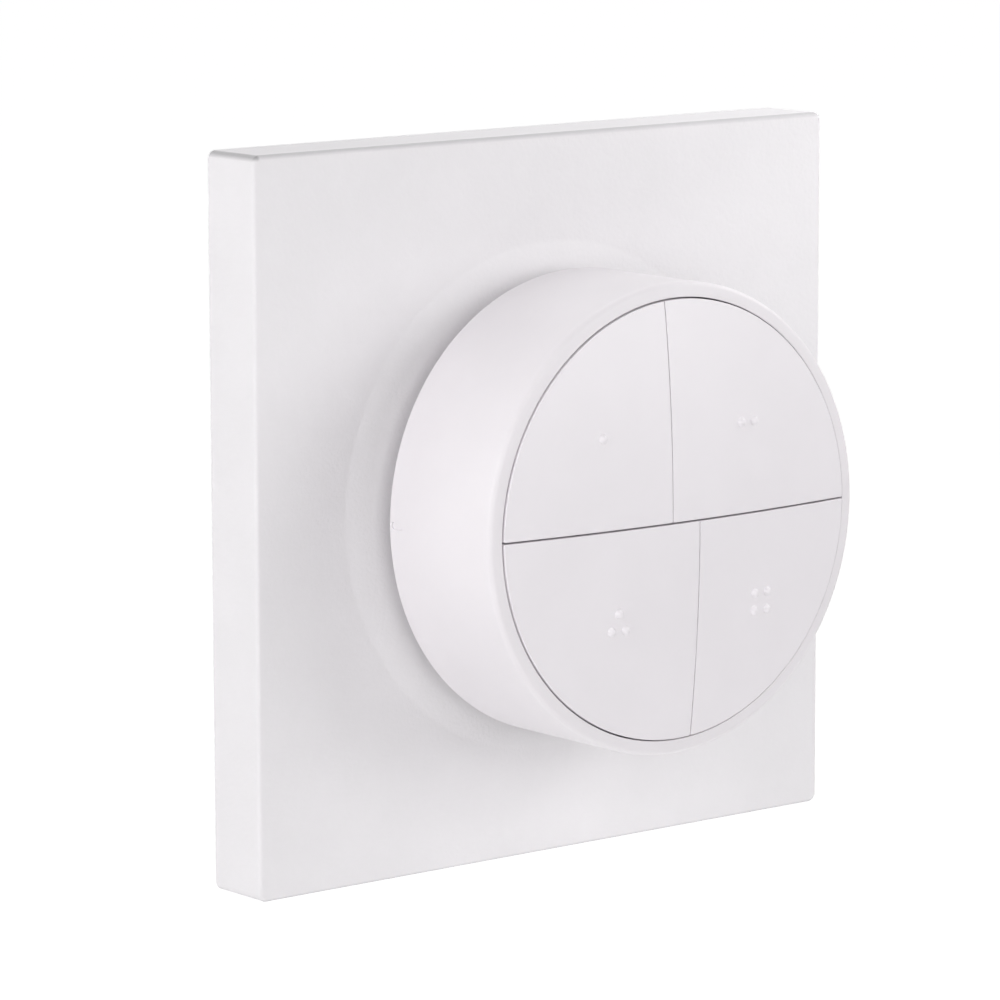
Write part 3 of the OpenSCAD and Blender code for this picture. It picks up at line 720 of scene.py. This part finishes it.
@dataclass
class WallCover:
    """Square cover on the wall, with the shallow cone and the collar that the puck sits in."""

    width: float = 80 * MM
    thick: float = 8.15 * MM
    corner: float = 1.0 * MM
    front_edge: float = 0.4 * MM
    back_edge: float = 0.12 * MM
    wall: float = 2.0 * MM
    skin: float = 2.0 * MM
    base: float = 2.6 * MM
    cone_foot: float = 28.25 * MM
    cone_top: float = 22.4 * MM
    cone_rise: float = 0.95 * MM
    cone_lap: float = 0.5 * MM
    foot_round: float = 0.25 * MM
    top_round: float = 0.2 * MM
    foot_near: float = 0.03 * MM
    collar_wall: float = 1.6 * MM
    piece: bpy.types.Object | None = None

    def build(self) -> None:
        """Models the cover from one block."""
        half = self.width / 2
        piece = box("wall_cover", (-half, -self.thick, -half), (half, 0, half))
        front = TINY - self.thick
        round_edges(piece, self.corner, segments=10, test=lambda a, b: abs(a.y - b.y) > TINY)
        round_edges(piece, self.front_edge, segments=6, test=lambda a, b: max(a.y, b.y) < front)
        round_edges(piece, self.back_edge, segments=2, test=lambda a, b: min(a.y, b.y) > -TINY)
        inner = half - self.wall
        back = self.thick - self.skin
        pocket = box("pocket", (-inner, -back, -inner), (inner, self.thick, inner))
        carve(piece, pocket, Carve.CUT)
        carve(piece, lathe("bore", self.bore_profile(), steps=64), Carve.CUT)
        cone = lathe("cone", rounded(self.cone_section(), segments=5), steps=256)
        carve(piece, cone, Carve.ADD)
        round_edges(piece, self.foot_round, segments=2, test=self.on_foot)
        soften(piece, angle=50)
        self.piece = piece

    def cone_section(self) -> list[tuple[float, float, float]]:
        """Gives the corners of the cone and the collar behind it, with their roundings."""
        slope = self.cone_rise / (self.cone_foot - self.cone_top)
        foot = self.cone_foot + self.cone_lap
        middle = self.thick - self.skin / 2
        outer = self.cone_top + self.collar_wall
        return [
            (self.cone_top, self.base, 0),
            (outer, self.base, 0),
            (outer, middle, 0),
            (foot, middle, 0),
            (foot, self.thick - slope * (foot - self.cone_foot), 0),
            (self.cone_top, self.thick + self.cone_rise, self.top_round),
        ]

    def bore_profile(self) -> Profile:
        """Gives the round hole in the skin that the collar fills."""
        edge, far = self.cone_top + self.collar_wall / 2, 2 * self.thick
        return [(0, -MM), (edge, -MM), (edge, far), (0, far)]

    def on_foot(self, *ends: Vector) -> bool:
        """Says whether an edge lies on the cone's foot, from its two ends."""
        off = [(abs(polar(p) - self.cone_foot), abs(p.y + self.thick)) for p in ends]
        return all(max(pair) < self.foot_near for pair in off)

    def dress(self, shop: PaintShop) -> None:
        """Gives the cover its finish."""
        shop.stand_in(self.piece, "wall_plate", "wall_mount")


@dataclass
class Dome:
    """Sphere that the buttons' faces and the dial's lip are part of."""

    radius: float = 187 * MM
    lip_radius: float = 24.05 * MM
    lip_depth: float = 29.7 * MM

    def depth(self, radius: float) -> float:
        """Gives the dome's depth at a distance from the axis."""
        middle = self.lip_depth - math.sqrt(self.radius**2 - self.lip_radius**2)
        return middle + math.sqrt(self.radius**2 - radius**2)


@dataclass
class Dial:
    """Ring that turns round the buttons, with its web on the neck and its index mark."""

    dome: Dome
    outer: float = 25.6 * MM
    inner: float = 23.98 * MM
    lip_drop: float = 0.12 * MM
    back: float = 12.35 * MM
    front_round: float = 0.65 * MM
    back_round: float = 0.3 * MM
    web_bore: float = 21.78 * MM
    web_back: float = 12.8 * MM
    web_front: float = 14.4 * MM
    mark_length: float = 2.2 * MM
    mark_width: float = 0.8 * MM
    mark_depth: float = 0.2 * MM
    mark_offset: float = 0.4 * MM
    fine_round: float = 0.1 * MM
    ring: bpy.types.Object | None = None

    def build(self) -> None:
        """Models the ring and sinks the mark into its side."""
        self.ring = lathe("dial_shell", rounded(self.section(), segments=8), steps=320)
        start = self.back + self.mark_offset
        half = self.mark_width / 2
        floor, clear = self.outer - self.mark_depth, self.outer + self.mark_depth
        mark = box("mark", (-clear, -start - self.mark_length, -half), (-floor, -start, half))
        end = half - 2 * TINY
        round_edges(mark, end, segments=10, test=lambda a, b: abs(a.x - b.x) > self.mark_depth)
        carve(self.ring, mark, Carve.CUT)
        soften(self.ring)

    def section(self) -> list[tuple[float, float, float]]:
        """Gives the corners of the ring's section with their roundings."""
        fine = self.fine_round
        return [
            (self.inner, self.dome.depth(self.inner) - self.lip_drop, fine),
            (self.outer, self.dome.depth(self.outer) - self.lip_drop, self.front_round),
            (self.outer, self.back, self.back_round),
            (self.inner, self.back, fine),
            (self.inner, self.web_back, 0),
            (self.web_bore, self.web_back, fine),
            (self.web_bore, self.web_front, fine),
            (self.inner, self.web_front, 0),
        ]

    def dress(self, shop: PaintShop) -> None:
        """Gives the ring its finish."""
        shop.stand_in(self.ring, "dial_ring", "dial")


class Corner(Enum):
    """Place of each button: its number, its side left or right, and its side above or below."""

    UPPER_LEFT = (1, -1, 1)
    UPPER_RIGHT = (2, 1, 1)
    LOWER_LEFT = (3, -1, -1)
    LOWER_RIGHT = (4, 1, -1)


@dataclass
class ButtonSet:
    """The four push buttons: domed caps with skirts, plungers, guide pins and raised dots."""

    dome: Dome
    radius: float = 23.82 * MM
    gap_flat: float = 0.2 * MM
    gap_upright: float = 0.1 * MM
    shift: float = 1.9 * MM
    edge: float = 0.06 * MM
    edge_steps: int = 3
    edge_band: float = 0.05 * MM
    corner_round: float = 0.15 * MM
    skirt_depth: float = 25.0 * MM
    skirt: float = 1.2 * MM
    ceiling: float = 28.0 * MM
    rim_points: int = 320
    cut_points: int = 31
    cut_least: float = 2.0 * MM
    # Least turn at a sharp corner of the outline, in radians
    sharp: float = 1.0
    rings: int = 12
    rings_core: float = 0.4
    rings_middle: float = 0.45
    dot_radius: float = 0.54 * MM
    dot_height: float = 0.42 * MM
    dot_root: float = 0.06 * MM
    dot_pitch: float = 1.9 * MM
    dot_far: float = 11.15 * MM
    dot_near: float = 9.05 * MM
    dot_side: float = 9.93 * MM
    plunger: float = 2.2 * MM
    plunger_side: float = 10.0 * MM
    plunger_depth: float = 24.0 * MM
    plunger_round: float = 0.2 * MM
    root: float = 0.4 * MM
    guide: float = 1.2 * MM
    guide_round: float = 0.05 * MM
    guide_far: float = 15.93 * MM
    guide_near: float = 6.03 * MM
    snap: float = 1.45 * MM
    snap_front: float = 22.9 * MM
    snap_back: float = 22.3 * MM
    caps: dict[Corner, bpy.types.Object] = field(default_factory=dict)

    def build(self) -> None:
        """Models the two upper buttons, copies each for the lower one across, and adds the dots."""
        for corner, across in (
            (Corner.UPPER_LEFT, Corner.LOWER_RIGHT),
            (Corner.UPPER_RIGHT, Corner.LOWER_LEFT),
        ):
            self.caps[corner] = self.cap(corner)
            self.caps[across] = twin(self.caps[corner], half_turn=True)
        dot = self.dot()
        for corner, cap in self.caps.items():
            join(cap, [twin(dot, move=place) for place in self.dot_places(corner)])
            cap.name = cap.data.name = f"button_cap_{corner.value[0]}"
        bpy.data.objects.remove(dot)

    def cap(self, corner: Corner) -> bpy.types.Object:
        """Models one button without its dots, from a disc.

        Args:
            corner: Place of the button.

        Returns:
            The button.
        """
        _, right, up = corner.value
        top = self.dome.depth(0)
        middle = self.rings_middle * self.radius
        piece = self.outline(corner)
        self.sides(piece, top - self.edge)
        self.face(piece, (right * middle, -top, up * middle))
        for vertex in piece.data.vertices:
            if -vertex.co.y > top - 2 * self.edge:
                vertex.co.y += top - self.dome.depth(polar(vertex.co))
        soften(piece, angle=50)
        side, root = self.plunger_side, self.ceiling + self.root
        plunger = peg("plunger", self.plunger, self.plunger_depth, root, self.plunger_round)
        pin = self.guide_pin()
        places = [(self.guide_far, self.guide_near), (self.guide_near, self.guide_far)]
        feet = [twin(plunger, move=(right * side, 0, up * side))]
        feet += [twin(pin, move=(right * u, 0, up * v)) for u, v in places]
        join(piece, feet)
        bpy.data.objects.remove(plunger)
        bpy.data.objects.remove(pin)
        return piece

    def outline(self, corner: Corner) -> bpy.types.Object:
        """Cuts a button's outline from a disc at the depth of its skirt.

        Args:
            corner: Place of the button.

        Returns:
            The outline as one face that looks forward.
        """
        _, right, up = corner.value
        rest_hands()
        bpy.ops.mesh.primitive_circle_add(
            vertices=self.rim_points,
            radius=self.radius,
            fill_type="NGON",
            location=(0, -self.skirt_depth, 0),
            rotation=ALONG_AXIS,
        )
        piece = named("button_cap")
        x0 = -up * self.shift + right * self.gap_upright / 2
        z0 = up * self.gap_flat / 2
        for place, normal in (((x0, 0, 0), (-right, 0, 0)), ((0, 0, z0), (0, 0, -up))):
            take(piece)
            bpy.ops.object.mode_set(mode="EDIT")
            bpy.ops.mesh.select_all(action="SELECT")
            bpy.ops.mesh.bisect(plane_co=place, plane_no=normal, clear_outer=True, threshold=TINY)

        def by_cut(place: Vector, _: Vector) -> bool:
            """Says whether a point of the rim is too near a cut for the corner's rounding."""
            off = min(abs(place.x - x0), abs(place.z - z0))
            return TINY < off < 2 * self.corner_round

        pick(piece, Pick.VERTICES, by_cut)
        bpy.ops.mesh.dissolve_verts()
        pick(piece, Pick.EDGES, lambda a, b: (a - b).length > self.cut_least)
        bpy.ops.mesh.subdivide(number_cuts=self.cut_points)
        bpy.ops.mesh.select_all(action="SELECT")
        bpy.ops.mesh.dissolve_faces()
        bpy.ops.mesh.select_all(action="SELECT")
        bpy.ops.mesh.delete_loose()
        rest_hands()
        return piece

    def sides(self, piece: bpy.types.Object, depth: float) -> None:
        """Raises the outline to a solid, rounds its upright corners and hollows its back.

        Args:
            piece: The button's outline.
            depth: Depth of the solid's front.
        """
        pick(piece, Pick.FACES, lambda place, normal: True)
        push(self.skirt_depth - depth)
        bpy.ops.mesh.select_all(action="SELECT")
        bpy.ops.mesh.normals_make_consistent(inside=False)
        rest_hands()
        turns: dict[tuple[int, int], list[Vector]] = {}
        for face in piece.data.polygons:
            for key in face.edge_keys:
                turns.setdefault(key, []).append(face.normal.copy())
        spots = piece.data.vertices
        corners = [
            spots[a].co.copy()
            for (a, b), (first, second) in turns.items()
            if abs(spots[a].co.y - spots[b].co.y) > MM and first.angle(second) > self.sharp
        ]

        def upright(a: Vector, b: Vector) -> bool:
            """Says whether an edge stands on a sharp corner of the outline."""
            near = any(math.hypot(a.x - c.x, a.z - c.z) < TINY for c in corners)
            return near and abs(a.y - b.y) > MM

        round_edges(piece, self.corner_round, segments=5, test=upright)
        pick(piece, Pick.FACES, lambda place, normal: normal.y > FACING)
        bpy.ops.mesh.inset(thickness=self.skirt)
        push(self.skirt_depth - self.ceiling)
        rest_hands()

    def face(self, piece: bpy.types.Object, centre: Sequence[float]) -> None:
        """Rounds the front's edge and fills the front with rings that can follow the dome.

        Args:
            piece: The button.
            centre: Point that the rings shrink towards.
        """
        pick(piece, Pick.FACES, lambda place, normal: normal.y < -FACING)
        bend = [math.pi / 2 * k / self.edge_steps for k in range(self.edge_steps + 1)]
        for a0, a1 in zip(bend, bend[1:]):
            bpy.ops.mesh.inset(
                thickness=self.edge * (math.cos(a0) - math.cos(a1)),
                depth=self.edge * (math.sin(a1) - math.sin(a0)),
            )
        bpy.ops.mesh.inset(thickness=self.edge_band)
        for k in range(self.rings):
            left = self.rings - k + self.rings_core
            share = (left - 1) / left
            bpy.ops.mesh.inset(thickness=0)
            bpy.ops.transform.resize(value=(share, 1, share), center_override=centre)
        bpy.ops.mesh.poke()
        rest_hands()

    def guide_pin(self) -> bpy.types.Object:
        """Models a guide pin with its snap head, on the puck's axis."""
        root = self.ceiling + self.root
        pin = peg("guide_pin", self.guide, self.snap_front, root, self.guide_round)
        pick(pin, Pick.FACES, lambda place, normal: normal.y > FACING)
        wide, length = self.snap / self.guide, self.snap_front - self.snap_back
        # Each step's growth and its share of the head's length: neck, shoulder, side and taper
        for size, step in ((1.0, 0.1), (wide, 0.0), (1.0, 0.5), (0.8, 0.4)):
            push(step * length)
            bpy.ops.transform.resize(value=(size, 1, size), center_override=(0, 0, 0))
        rest_hands()
        soften(pin, angle=30)
        return pin

    def dot(self) -> bpy.types.Object:
        """Models one raised dot, with the button's face at its origin."""
        rest_hands()
        ball = (self.dot_radius**2 + self.dot_height**2) / (2 * self.dot_height)
        bpy.ops.mesh.primitive_uv_sphere_add(
            segments=48,
            ring_count=64,
            radius=ball,
            location=(0, ball - self.dot_height, 0),
            rotation=ALONG_AXIS,
        )
        dot = named("dot")
        bpy.ops.object.mode_set(mode="EDIT")
        bpy.ops.mesh.select_all(action="SELECT")
        bpy.ops.mesh.bisect(
            plane_co=(0, self.dot_root, 0),
            plane_no=(0, 1, 0),
            clear_outer=True,
            use_fill=True,
            threshold=TINY,
        )
        rest_hands()
        soften(dot, angle=50)
        return dot

    def dot_places(self, corner: Corner) -> list[tuple[float, float, float]]:
        """Gives the places of the dots that number a button.

        Args:
            corner: Place of the button.

        Returns:
            The places, on the dome.
        """
        number, right, up = corner.value
        half = self.dot_pitch / 2
        middle = right * (self.dot_near if number in (2, 3) else self.dot_far)
        layout = {
            1: [(0, 0)],
            2: [(-1, 0), (1, 0)],
            3: [(0, 1), (-1, -1), (1, -1)],
            4: [(-1, 1), (1, 1), (-1, -1), (1, -1)],
        }[number]
        flat = [(middle + u * half, up * self.dot_side + v * half) for u, v in layout]
        return [(x, -self.dome.depth(math.hypot(x, z)), z) for x, z in flat]

    def dress(self, shop: PaintShop) -> None:
        """Gives the buttons their finish."""
        for corner, cap in self.caps.items():
            shop.stand_in(cap, f"button_{corner.value[0]}", f"button_{corner.value[0]}")


@dataclass
class SmoothCopy:
    """A CAD node whose shape is right, copied so that its round faces can be shaded smooth."""

    node: str
    body: str
    angle: float = 30.0
    flat: float = 0.1
    piece: bpy.types.Object | None = None

    def build(self) -> None:
        """Copies the node, merges its loose triangles and shades the copy."""
        take(frame["nodes"][self.node])
        bpy.ops.object.duplicate()
        piece = bpy.context.object
        piece.parent = None
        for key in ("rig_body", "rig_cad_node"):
            del piece[key]
        piece.name = f"{self.node}_moulded"
        piece.data.name = piece.name
        bpy.ops.object.mode_set(mode="EDIT")
        bpy.ops.mesh.select_all(action="SELECT")
        bpy.ops.mesh.remove_doubles(threshold=TINY)
        bpy.ops.mesh.dissolve_limited(angle_limit=math.radians(self.flat))
        rest_hands()
        if piece.data.has_custom_normals:
            take(piece)
            bpy.ops.mesh.customdata_custom_splitnormals_clear()
        soften(piece, self.angle)
        self.piece = piece

    def dress(self, shop: PaintShop) -> None:
        """Gives the copy the node's finish."""
        shop.stand_in(self.piece, self.node, self.body)


# Studio


def direction(azimuth: float, elevation: float) -> Vector:
    """Gives the direction at angles from the puck's front.

    Args:
        azimuth: Degrees towards the right, seen from the front.
        elevation: Degrees upwards.

    Returns:
        The direction, of length 1.
    """
    a, e = math.radians(azimuth), math.radians(elevation)
    return Vector((math.sin(a) * math.cos(e), -math.cos(a) * math.cos(e), math.sin(e)))


@dataclass(frozen=True)
class SoftLamp:
    """A rectangular studio lamp that looks at the puck, placed by angles from the puck's front."""

    name: str
    azimuth: float
    elevation: float
    power: float
    size: tuple[float, float] = (0.4, 0.4)
    distance: float = 0.8
    aim: tuple[float, float, float] = (0.0, -0.015, 0.0)

    def build(self) -> None:
        """Adds the lamp."""
        light = bpy.data.lights.new(self.name, "AREA")
        light.shape = "RECTANGLE"
        light.size, light.size_y = self.size
        light.energy = self.power
        lamp = bpy.data.objects.new(self.name, light)
        bpy.context.scene.collection.objects.link(lamp)
        out = direction(self.azimuth, self.elevation)
        turn = (-out).to_track_quat("-Z", "Y").to_matrix().to_4x4()
        lamp.matrix_world = Matrix.Translation(Vector(self.aim) + out * self.distance) @ turn


@dataclass
class Studio:
    """Camera, lamps, floor and background."""

    azimuth: float = -38.916
    elevation: float = 9.250
    roll: float = -0.135
    distance: float = 595.83 * MM
    target: tuple[float, float, float] = (-0.385 * MM, 0.042 * MM, -1.499 * MM)
    lens: float = 192.733
    sensor: float = 36.0
    clip: tuple[float, float] = (0.01, 50.0)
    floor_depth: float = 250 * MM
    floor_size: float = 12.0
    floor_shades: tuple[float, float] = (0.79, 0.81)
    floor_cloud: float = 0.6
    floor_roughness: float = 0.9
    ambient: float = 0.0
    lamps: list[SoftLamp] = field(default_factory=lambda: [
        SoftLamp("lamp_left", -95, 12, 1.08),
        SoftLamp("lamp_left_front", -78, 12, 1.88),
        SoftLamp("lamp_left_back", -112, 12, 0.35),
        SoftLamp("lamp_back_left", -130, 12, 0.88),
        SoftLamp("lamp_front_left", -26, 12, 1.95),
        SoftLamp("lamp_front_right", 29, 12, 1.63),
        SoftLamp("lamp_right", 46, 12, 0.55),
        SoftLamp("lamp_right_back", 125, 30, 0.68),
        SoftLamp("lamp_top_back", 150, 60, 1.91),
        SoftLamp("lamp_top_left", -60, 60, 0.97),
        SoftLamp("lamp_near_right", 75, 35, 0.073, size=(0.06, 0.06), distance=0.16),
        SoftLamp("lamp_below", 0, -80, 0.006, size=(0.1, 0.03), distance=0.09),
        SoftLamp("lamp_below_right", 60, -70, 0.0024, size=(0.06, 0.03), distance=0.1),
    ])

    def build(self) -> None:
        """Sets up the whole studio."""
        bpy.context.scene.view_settings.view_transform = "Standard"
        self.build_camera()
        self.build_floor()
        self.build_background()
        for lamp in self.lamps:
            lamp.build()

    def build_camera(self) -> None:
        """Puts the camera where the photograph was taken from."""
        back = direction(self.azimuth, self.elevation)
        r = math.radians(self.roll)
        right = (-back).cross(Vector((0, 0, 1))).normalized()
        up = right.cross(-back)
        turned_right = math.cos(r) * right + math.sin(r) * up
        turned_up = -math.sin(r) * right + math.cos(r) * up
        data = bpy.data.cameras.new("camera")
        data.sensor_width = self.sensor
        data.lens = self.lens
        data.clip_start, data.clip_end = self.clip
        camera = bpy.data.objects.new("camera", data)
        bpy.context.scene.collection.objects.link(camera)
        turn = Matrix((turned_right, turned_up, back)).transposed().to_4x4()
        camera.matrix_world = Matrix.Translation(Vector(self.target) + back * self.distance) @ turn
        bpy.context.scene.camera = camera

    def build_floor(self) -> None:
        """Lays the pale floor, which is seen as white and lights the object from below."""
        rest_hands()
        bpy.ops.mesh.primitive_plane_add(size=self.floor_size, location=(0, 0, -self.floor_depth))
        floor = named("floor")
        sheet = Sheet("floor_white")
        sheet.shader.inputs["Roughness"].default_value = self.floor_roughness
        sheet.shader.inputs["Specular IOR Level"].default_value = 0.0
        low, high = ([shade] * 3 for shade in self.floor_shades)
        sheet.tint(sheet.noise(self.floor_cloud, detail=2), "Fac", low, high)
        glow = sheet.add("ShaderNodeEmission", Strength=1.0)
        dark = sheet.add("ShaderNodeEmission", Strength=0.0)
        choice = sheet.add("ShaderNodeMixShader")
        sheet.tree.links.new(self.seen_rays(sheet.tree), choice.inputs[0])
        sheet.link(dark, 0, choice, 1)
        sheet.link(glow, 0, choice, 2)
        total = sheet.add("ShaderNodeAddShader")
        sheet.link(sheet.shader, 0, total, 0)
        sheet.link(choice, 0, total, 1)
        sheet.link(total, 0, sheet.output, "Surface")
        floor.data.materials.append(sheet.material)

    @staticmethod
    def seen_rays(tree: bpy.types.NodeTree) -> bpy.types.NodeSocket:
        """Adds the test for rays that show the background: straight, mirrored or through glass.

        Args:
            tree: Node tree that gets the test.

        Returns:
            The output that is 1 for such a ray.
        """
        path = tree.nodes.new("ShaderNodeLightPath")
        seen = path.outputs["Is Camera Ray"]
        for kind in ("Is Glossy Ray", "Is Transmission Ray"):
            either = tree.nodes.new("ShaderNodeMath")
            either.operation = "MAXIMUM"
            tree.links.new(seen, either.inputs[0])
            tree.links.new(path.outputs[kind], either.inputs[1])
            seen = either.outputs[0]
        return seen

    def build_background(self) -> None:
        """Makes the background white where it is seen and sets how much it lights the object."""
        world = bpy.data.worlds.new("studio")
        world.use_nodes = True
        bpy.context.scene.world = world
        tree = world.node_tree
        tree.nodes.clear()
        add = tree.nodes.new
        output, choice = add("ShaderNodeOutputWorld"), add("ShaderNodeMixShader")
        tree.links.new(self.seen_rays(tree), choice.inputs[0])
        for k, strength in ((1, self.ambient), (2, 1.0)):
            light = add("ShaderNodeBackground")
            light.inputs["Color"].default_value = WHITE
            light.inputs["Strength"].default_value = strength
            tree.links.new(light.outputs[0], choice.inputs[k])
        tree.links.new(choice.outputs[0], output.inputs["Surface"])


def main() -> None:
    """Builds the studio and every sub-assembly, and dresses them."""
    logging.basicConfig(level=logging.INFO, format="%(name)s: %(message)s")
    Studio().build()
    shop = PaintShop(frame["record"])
    dome = Dome()
    assemblies = [
        WallCover(),
        Dial(dome),
        ButtonSet(dome),
        SmoothCopy("base_plate", "wall_mount"),
        SmoothCopy("adhesive_pads", "wall_mount"),
        SmoothCopy("keeper_segments", "wall_mount"),
        SmoothCopy("base_housing", "puck"),
        SmoothCopy("battery_door", "door"),
        SmoothCopy("pairing_button", "pairing"),
        SmoothCopy("glide_ring", "puck"),
    ]
    for assembly in assemblies:
        assembly.build()
        assembly.dress(shop)
    for name, node in frame["nodes"].items():
        if not node.hide_render:
            shop.coat(node, shop.slots[name])
            LOG.info("%s keeps its solid", name)


if __name__ == "__main__":
    main()
